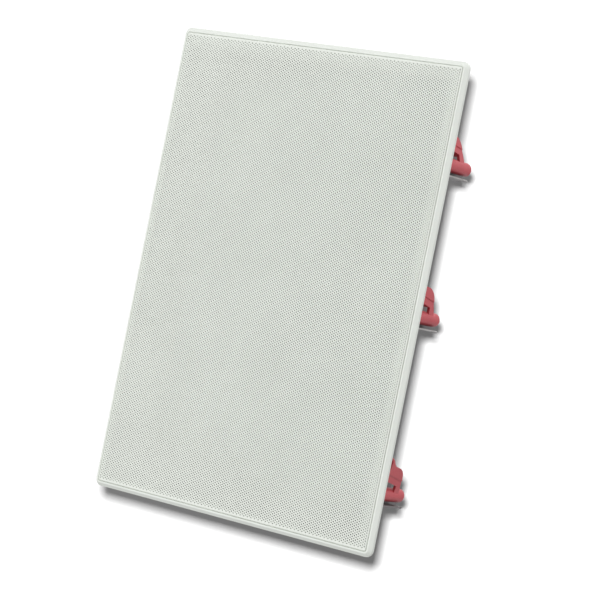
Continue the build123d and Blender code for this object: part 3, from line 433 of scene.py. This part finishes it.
# the polygon lies half inside and half outside the round hole
holeRadius = grilleSheet["holeMm"] / 2 * mm / math.cos(math.pi / holeSides) ** 0.5
cellEdge = [(halfX, 0), (halfX, halfZ), (-halfX, halfZ), (-halfX, 0), (-halfX, -halfZ), (halfX, -halfZ)]
holeAngles = [2 * math.pi * (k + 0.5) / holeSides for k in range(holeSides)]
holeEdge = [(holeRadius * math.cos(angle), holeRadius * math.sin(angle)) for angle in holeAngles]
cellPoints = np.array(
    [(x, sheetFront, z) for x, z in cellEdge + holeEdge] + [(x, sheetRear, z) for x, z in holeEdge]
)
cellAngles = [math.atan2(z, x) % (2 * math.pi) for x, z in cellEdge]
cellAngles.append(2 * math.pi)
holeAngles.append(holeAngles[0] + 2 * math.pi)
hole, bore = len(cellEdge), len(cellEdge) + holeSides  # first point of the hole's front and rear edges
frontFaces, outer, inner = [], 0, 0
while outer < len(cellEdge) or inner < holeSides:  # goes round both edges, to whichever point comes next
    here, rim = outer % len(cellEdge), hole + inner % holeSides
    if inner == holeSides or (outer < len(cellEdge) and cellAngles[outer + 1] <= holeAngles[inner + 1]):
        outer += 1
        frontFaces.append((here, outer % len(cellEdge), rim))
    else:
        inner += 1
        frontFaces.append((here, hole + inner % holeSides, rim))
wallFaces = []
for k in range(holeSides):
    after = (k + 1) % holeSides
    wallFaces += [(hole + k, hole + after, bore + after), (hole + k, bore + after, bore + k)]
cellFaces = np.array(frontFaces + wallFaces)
cellFlat = np.array([True] * len(frontFaces) + [False] * len(wallFaces))
fillerFaces = np.array([(0, 1, 2), (0, 2, 3)])


def sheetPanel(name, firstColumn, lastColumn):
    points, faces, flat, offset = [], [], [], 0
    for column in range(firstColumn, lastColumn):
        middleX = -fieldWidth / 2 + (column + 0.5) * columnStep
        raised = column % 2
        middles = -fieldHeight / 2 + (np.arange(grilleSheet["rows"]) + 0.5 + 0.5 * raised) * rowStep
        shifts = np.stack([np.full_like(middles, middleX), np.zeros_like(middles), middles], axis=1)
        points.append((shifts[:, None, :] + cellPoints[None, :, :]).reshape(-1, 3))
        starts = offset + np.arange(len(middles)) * len(cellPoints)
        faces.append((starts[:, None, None] + cellFaces[None, :, :]).reshape(-1, 3))
        flat.append(np.tile(cellFlat, len(middles)))
        offset += len(middles) * len(cellPoints)
        low = -fieldHeight / 2 if raised else fieldHeight / 2 - halfZ  # the blank half cell at one end
        filler = [
            (middleX - halfX, sheetFront, low), (middleX + halfX, sheetFront, low),
            (middleX + halfX, sheetFront, low + halfZ), (middleX - halfX, sheetFront, low + halfZ),
        ]
        points.append(np.array(filler))
        faces.append(offset + fillerFaces)
        flat.append(np.full(len(fillerFaces), True))
        offset += len(filler)
    points, faces, flat = np.concatenate(points), np.concatenate(faces), np.concatenate(flat)
    welded, kept = np.unique(np.round(points / weldGap).astype(np.int64), axis=0, return_inverse=True)
    points, faces = welded * weldGap, kept.ravel()[faces]  # neighbouring cells share their edges
    mesh = bpy.data.meshes.new(name)
    mesh.vertices.add(len(points))
    mesh.vertices.foreach_set("co", points.astype(np.float32).ravel())
    mesh.loops.add(faces.size)
    mesh.loops.foreach_set("vertex_index", faces.astype(np.int32).ravel())
    mesh.polygons.add(len(faces))
    mesh.polygons.foreach_set("loop_start", np.arange(0, faces.size, 3, dtype=np.int32))
    mesh.update(calc_edges=True)
    mesh.attributes.new("sharp_face", "BOOLEAN", "FACE").data.foreach_set("value", flat)
    corners = points[faces.ravel()]
    spread = np.stack([corners[:, 0] / fieldHeight + 0.5, corners[:, 2] / fieldHeight + 0.5], axis=1)
    mesh.uv_layers.new(name="OFBake").data.foreach_set("uv", spread.astype(np.float32).ravel())
    return mesh


grillePieces = []
panelEdges = np.linspace(0, grilleSheet["columns"], grilleSheet["panels"] + 1).astype(int)
for panel in range(grilleSheet["panels"]):
    name = f"grillePanel{panel + 1}"
    mesh = sheetPanel(name, panelEdges[panel], panelEdges[panel + 1])
    grillePieces.append(addPiece(name, mesh, whiteCoat))
print("grille sheet made:", grilleSheet["columns"] * grilleSheet["rows"], "holes")


# plain margin round the holes, folded back at the sheet's edge
grilleRim = {"foldMm": 0.6, "cornerMm": 1.4, "foldSteps": 5, "cornerSteps": 8}
sheetWidth, sheetHeight = grilleHigh.x - grilleLow.x, grilleHigh.z - grilleLow.z
fold, rimCorner = grilleRim["foldMm"] * mm, grilleRim["cornerMm"] * mm


def roundedOutline(width, height, corner, depth):
    outline = []
    for turn, (sideX, sideZ) in enumerate(((1, 1), (-1, 1), (-1, -1), (1, -1))):
        for step in range(grilleRim["cornerSteps"] + 1):
            angle = math.radians(90 * (turn + step / grilleRim["cornerSteps"]))
            outline.append((
                sideX * (width / 2 - corner) + corner * math.cos(angle), depth,
                sideZ * (height / 2 - corner) + corner * math.sin(angle),
            ))
    return outline


sections = []  # distance in from the sheet's edge, and depth
for step in range(grilleRim["foldSteps"] + 1):
    angle = math.radians(90 * step / grilleRim["foldSteps"])
    sections.append((fold * (1 - math.sin(angle)), sheetFront + fold * (1 - math.cos(angle))))
sections.append((0.0, grilleHigh.y))
sections.append((grilleSheet["sheetMm"] * mm, grilleHigh.y))
sections.append((grilleSheet["sheetMm"] * mm, sheetRear))
outlines = [roundedOutline(fieldWidth, fieldHeight, 0.0, sheetFront)]
for inset, depth in sections:
    outlines.append(roundedOutline(sheetWidth - 2 * inset, sheetHeight - 2 * inset, rimCorner - inset, depth))
grillePieces.append(addPiece("grilleRim", skinOutlines("grilleRim", outlines), whiteCoat))
for piece in grillePieces:
    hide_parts("grille")
print("grille rim made")


# woven cloth stretched behind the sheet and glued along its edges; between them it gives a little
scrimSheet = {"cellMm": 3.0, "slackMm": 0.1, "wavesX": 3, "wavesZ": 4}
clothWidth, clothHeight = clothHigh.x - clothLow.x, clothHigh.z - clothLow.z
acrossCells = round(clothWidth / (scrimSheet["cellMm"] * mm))
upCells = round(clothHeight / (scrimSheet["cellMm"] * mm))
clothMesh = bmesh.new()
clothSpread = clothMesh.loops.layers.uv.new("OFBake")
knots = []
for up in range(upCells + 1):
    v = up / upCells
    for across in range(acrossCells + 1):
        u = across / acrossCells
        wave = math.sin(math.pi * scrimSheet["wavesX"] * u) * math.sin(math.pi * scrimSheet["wavesZ"] * v)
        depth = (clothLow.y + clothHigh.y) / 2 + scrimSheet["slackMm"] * mm * wave
        knots.append(clothMesh.verts.new((clothLow.x + u * clothWidth, depth, clothLow.z + v * clothHeight)))
for up in range(upCells):
    for across in range(acrossCells):
        first = up * (acrossCells + 1) + across
        face = clothMesh.faces.new([knots[first + k] for k in (0, 1, acrossCells + 2, acrossCells + 1)])
        face.smooth = True
        for loop in face.loops:
            spot = loop.vert.co
            loop[clothSpread].uv = ((spot.x - clothLow.x) / clothHeight, (spot.z - clothLow.z) / clothHeight)
grilleCloth = addPiece("grilleCloth", bmeshToMesh("grilleCloth", clothMesh), scrimCloth)
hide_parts("grille_scrim")
print("grille cloth stretched:", acrossCells, "by", upCells, "cells")


# soft white strip in the gap round the grille, so that the groove is shallow
grilleSeal = {"clearMm": 0.05, "widthMm": 0.5, "topMm": -3.9, "rootMm": -2.0, "crownMm": 0.2}
sealCrown = grilleSeal["topMm"] - grilleSeal["crownMm"]
outlines = []
for across, depth in (
    (0.0, grilleSeal["rootMm"]), (0.0, grilleSeal["topMm"]), (0.5, sealCrown),
    (1.0, grilleSeal["topMm"]), (1.0, grilleSeal["rootMm"]),
):
    grow = (grilleSeal["clearMm"] + across * grilleSeal["widthMm"]) * mm
    sealWidth, sealHeight = sheetWidth + 2 * grow, sheetHeight + 2 * grow
    outlines.append(roundedOutline(sealWidth, sealHeight, rimCorner + grow, depth * mm))
addPiece("grilleSeal", skinOutlines("grilleSeal", outlines, endless=True), whiteAbs)
print("grille seal laid")


# rounded lip along each tower's shelf, coloured paler as a painted highlight along its edge, except on the one
# tower where no highlight falls
shelfLip = {"thickMm": 1.4, "standsMm": 0.4, "midMm": -8.4, "sides": 6, "unscraped": "RightBottom",
            "routeMm": [(5.3, 8.0), (5.3, 45.0), (1.3, 49.0), (-4.0, 49.0)]}  # out from the screw, and depth
route = [Vector(spot) for spot in shelfLip["routeMm"]]
runs = [(b - a).normalized() for a, b in zip(route, route[1:])]
outward = [Vector((run.y, -run.x)) for run in runs]
lipTurns = [outward[0]] + [(a + b) / (1 + a.dot(b)) for a, b in zip(outward, outward[1:])] + [outward[-1]]
clampScrews = [joint for joint in frame["joints"] if joint["name"].startswith("clamp_swing_")]
for joint in clampScrews:
    tower = joint["name"].removeprefix("clamp_swing_").title().replace("_", "")
    screw = Vector(joint["pos_m"]) / mm
    side = 1 if screw.x > 0 else -1  # the towers on the left stand the other way up
    outlines = []
    for spot, turn in zip(route, lipTurns):
        outline = []
        for k in range(shelfLip["sides"] + 1):
            angle = math.pi * (k / shelfLip["sides"] - 0.5)
            out = spot + turn * shelfLip["standsMm"] * math.cos(angle)
            rise = shelfLip["midMm"] + shelfLip["thickMm"] / 2 * math.sin(angle)
            outline.append(Vector((screw.x + side * out.x, out.y, screw.z + side * rise)) * mm)
        outlines.append(outline)
    mesh = skinOutlines(f"shelfLip{tower}", outlines, capped=True)
    mesh.shade_smooth()
    mesh.set_sharp_from_angle(angle=math.radians(creaseDeg))
    # painted highlight on every lip but the one that keeps the plain grey
    lipFinish = greyAbs if tower == shelfLip["unscraped"] else paintedHighlightAbs
    addPiece(f"shelfLip{tower}", mesh, lipFinish)
print("shelf lips laid:", len(clampScrews))


# soft rings of the drivers: the outer edge stays with the speaker, the inner edge follows the cone or dome
def softRing(name, section, ring, finish, node):
    low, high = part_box(node)
    middle = (low.z + high.z) / 2
    outlines = []
    for step in range(ring["around"]):
        angle = 2 * math.pi * step / ring["around"]
        outlines.append([
            (radius * mm * math.cos(angle), depth * mm, middle + radius * mm * math.sin(angle))
            for radius, depth in section
        ])
    mesh = skinOutlines(name, outlines, endless=True)
    mesh.shade_smooth()
    mesh.set_sharp_from_angle(angle=math.radians(creaseDeg))
    piece = addObject(name, mesh, finish)
    still, moving = ring["stillMm"] * mm, ring["movingMm"] * mm
    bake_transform(piece, "speaker", ring["follows"], start=(still, 0, middle), end=(moving, 0, middle))
    spots = np.zeros(len(mesh.vertices) * 3, np.float32)
    mesh.vertices.foreach_get("co", spots)
    spots = spots.reshape(-1, 3)
    radii = np.hypot(spots[:, 0], spots[:, 2] - middle)
    share = np.clip((still - radii) / (still - moving), 0, 1)
    share = share * share * (3 - 2 * share)  # the same blend by radius, so that the ring flexes evenly
    mesh.attributes["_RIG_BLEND"].data.foreach_set("value", share.astype(np.float32))
    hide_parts(node)


wooferRoll = {"follows": "woofer_cone", "around": 120, "steps": 14, "stillMm": 86.7, "movingMm": 71.3,
              "footMm": 66.8, "crestMm": 79.0, "spanMm": 7.7, "riseMm": 7.0, "sheetMm": 0.7}
tweeterRoll = {"follows": "tweeter_dome", "around": 72, "steps": 10, "stillMm": 16.4, "movingMm": 13.5,
               "footMm": 13.2, "crestMm": 14.8, "spanMm": 1.6, "riseMm": 1.6, "sheetMm": 0.3}
for name, roll, finish, slot, node in (
    ("wooferRoll", wooferRoll, rubber, "rubber", "woofer_surround"),
    ("tweeterRoll", tweeterRoll, coatedSilk, "dome_cloth", "tweeter_surround"),
):
    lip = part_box(node)[1] / mm  # its x is the radius of the ring's edge, its y the depth of its rear face
    faces = []
    frontDepth, rearSpan = lip.y - roll["sheetMm"], roll["spanMm"] - roll["sheetMm"]
    for depth, span in ((frontDepth, roll["spanMm"]), (lip.y, rearSpan)):
        face = [(roll["footMm"], depth)]
        for step in range(roll["steps"] + 1):
            angle = math.pi * step / roll["steps"]
            face.append((roll["crestMm"] - span * math.cos(angle), depth - roll["riseMm"] * math.sin(angle)))
        faces.append(face + [(lip.x, depth)])
    softRing(name, faces[0] + faces[1][::-1], roll, finish, node)

wooferSpider = {"follows": "woofer_cone", "around": 96, "steps": 40, "stillMm": 50.0, "movingMm": 19.7,
                "footMm": 15.7, "sheetMm": 0.6, "pleats": 2, "pleatMm": 2.4}
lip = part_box("woofer_spider")[1] / mm
spiderFront = lip.y - wooferSpider["sheetMm"]
front = [(wooferSpider["footMm"], spiderFront)]
for step in range(wooferSpider["steps"] + 1):
    share = step / wooferSpider["steps"]
    radius = wooferSpider["movingMm"] + share * (wooferSpider["stillMm"] - wooferSpider["movingMm"])
    dip = wooferSpider["pleatMm"] * (1 - math.cos(2 * math.pi * wooferSpider["pleats"] * share)) / 2
    front.append((radius, spiderFront - dip))
front.append((lip.x, spiderFront))
rear = [(radius, depth + wooferSpider["sheetMm"]) for radius, depth in front]
softRing("wooferSpider", front + rear[::-1], wooferSpider, spiderCotton, "woofer_spider")
print("soft rings made")


# coil springs under the terminal buttons, which close up as a button is pressed; here they are wound at rest and
# stay with the speaker
terminalSpring = {"coilMm": 3.4, "wireMm": 0.6, "turns": 3.5, "stepsPerTurn": 24, "sides": 8,
                  "frontMm": 14.5, "rearMm": 18.5, "pressMm": 2.4,
                  "middleZMm": 104, "redXMm": 89, "blackXMm": 63}
springLength = terminalSpring["rearMm"] - terminalSpring["frontMm"]
wireRadius = terminalSpring["wireMm"] / 2
springSteps = round(terminalSpring["turns"] * terminalSpring["stepsPerTurn"])
for name, middleX, joint, node in (
    ("springRed", terminalSpring["redXMm"], "red_terminal_press", "terminal_spring_red"),
    ("springBlack", terminalSpring["blackXMm"], "black_terminal_press", "terminal_spring_black"),
):
    outlines = []
    for step in range(springSteps + 1):
        angle = 2 * math.pi * step / terminalSpring["stepsPerTurn"]
        climb = (springLength - terminalSpring["wireMm"]) * step / springSteps
        depth = terminalSpring["frontMm"] + wireRadius + climb
        outline = []
        for k in range(terminalSpring["sides"]):
            tilt = 2 * math.pi * k / terminalSpring["sides"]
            reach = terminalSpring["coilMm"] + wireRadius * math.cos(tilt)
            outline.append(Vector((
                middleX + reach * math.cos(angle), depth + wireRadius * math.sin(tilt),
                terminalSpring["middleZMm"] + reach * math.sin(angle),
            )) * mm)
        outlines.append(outline)
    mesh = skinOutlines(name, outlines, capped=True)
    mesh.shade_smooth()
    spring = addPiece(name, mesh, zinc)
    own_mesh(spring)
    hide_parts(node)
print("terminal springs wound")


# pale card close behind the speaker, lit to white by its own lamp; from its other side it isn't seen
backdrop = {"gapMm": 50, "sizeM": 8.0, "colour": "9A9A9A", "glow": 0.07}
paleCard = bpy.data.materials.new("paleCard")
paleCard.use_nodes = True
tree = paleCard.node_tree
tree.nodes.clear()
matt = addNode(tree, "ShaderNodeBsdfDiffuse", {"Color": srgb(backdrop["colour"])})
glow = addNode(tree, "ShaderNodeEmission", {"Strength": backdrop["glow"]})
lit = addNode(tree, "ShaderNodeAddShader", {0: matt.outputs[0], 1: glow.outputs[0]})
clear = addNode(tree, "ShaderNodeBsdfTransparent")
facing = addNode(tree, "ShaderNodeNewGeometry")
shown = addNode(
    tree, "ShaderNodeMixShader",
    {0: facing.outputs["Backfacing"], 1: lit.outputs[0], 2: clear.outputs[0]},
)
addNode(tree, "ShaderNodeOutputMaterial", {"Surface": shown.outputs[0]})
half, backdropDepth = backdrop["sizeM"] / 2, cadBox[1].y + backdrop["gapMm"] * mm
corners = [(-half, -half), (half, -half), (half, half), (-half, half)]
backdropMesh = bmesh.new()
backdropMesh.faces.new([backdropMesh.verts.new((x, backdropDepth, z)) for x, z in corners])
backdropObject = addObject("backdrop", bmeshToMesh("backdrop", backdropMesh), paleCard)
backdropObject.visible_diffuse = False
backdropObject.visible_glossy = False
backdropObject.visible_transmission = False
backdropObject.visible_shadow = False

# studio surround: white to the eye and in reflections; on the surfaces a fill that is stronger from above
surround = {"fillBelow": 0.14, "fillAbove": 0.72}
world = bpy.data.worlds.new("studio")
bpy.context.scene.world = world
world.use_nodes = True
tree = world.node_tree
tree.nodes.clear()
direction = addNode(tree, "ShaderNodeTexCoord").outputs["Generated"]
height = addNode(tree, "ShaderNodeSeparateXYZ", {"Vector": direction})
fill = addNode(
    tree, "ShaderNodeMapRange",
    {"Value": height.outputs["Z"], "From Min": -1.0, "From Max": 1.0,
     "To Min": surround["fillBelow"], "To Max": surround["fillAbove"]},
)
ray = addNode(tree, "ShaderNodeLightPath")
seen = addNode(
    tree, "ShaderNodeMath",
    {0: ray.outputs["Is Camera Ray"], 1: ray.outputs["Is Glossy Ray"]}, operation="MAXIMUM",
)
seenOrThrough = addNode(
    tree, "ShaderNodeMath",
    {0: seen.outputs[0], 1: ray.outputs["Is Transmission Ray"]}, operation="MAXIMUM",
)
level = addNode(
    tree, "ShaderNodeMapRange",
    {"Value": seenOrThrough.outputs[0], "To Min": fill.outputs["Result"], "To Max": 1.0},
)
sky = addNode(tree, "ShaderNodeBackground", {"Color": srgb("FFFFFF"), "Strength": level.outputs["Result"]})
addNode(tree, "ShaderNodeOutputWorld", {"Surface": sky.outputs[0]})

# soft lamps, placed along the camera's own right, up and back; the last lights the backdrop alone
lamps = {
    "topLamp": {"rightMm": -900, "upMm": 1350, "backMm": 1150, "sizeMm": 900, "watts": 15.5},
    "lowLamp": {"rightMm": -1200, "upMm": -900, "backMm": 1200, "sizeMm": 900, "watts": 12.5},
    "sideLamp": {"rightMm": 1490, "upMm": 430, "backMm": 395, "sizeMm": 500, "watts": 7.0},
    "rearLamp": {"rightMm": 900, "upMm": 1000, "backMm": -1500, "sizeMm": 900, "watts": 21.0},
    "backdropLamp": {"rightMm": -31, "upMm": 113, "backMm": 2000, "sizeMm": 113, "watts": 37.0},
}
backdropOnly = bpy.data.collections.new("backdropOnly")
backdropOnly.objects.link(backdropObject)
allButBackdrop = bpy.data.collections.new("allButBackdrop")
allButBackdrop.objects.link(backdropObject)
allButBackdrop.collection_objects[0].light_linking.link_state = "EXCLUDE"
for name, lamp in lamps.items():
    light = bpy.data.lights.new(name, "AREA")
    light.size = lamp["sizeMm"] * mm
    light.energy = lamp["watts"]
    lampObject = bpy.data.objects.new(name, light)
    spot = viewTurn @ Vector((lamp["rightMm"], -lamp["backMm"], lamp["upMm"])) * mm
    lampObject.location = spot
    lampObject.rotation_euler = (-spot).to_track_quat("-Z", "Y").to_euler()
    lampObject.visible_camera = False
    lampObject.visible_glossy = name != "rearLamp"  # it fills the back, and leaves no glint on the clamps
    lampObject.light_linking.receiver_collection = allButBackdrop
    if name == "backdropLamp":  # doesn't fall off with distance, so that the white is even
        lampObject.light_linking.receiver_collection = backdropOnly
        light.use_nodes = True
        tree = light.node_tree
        even = addNode(tree, "ShaderNodeLightFalloff", {"Strength": 1.0})
        tree.links.new(even.outputs["Constant"], tree.nodes["Emission"].inputs["Strength"])
    bpy.context.scene.collection.objects.link(lampObject)
print("studio set")
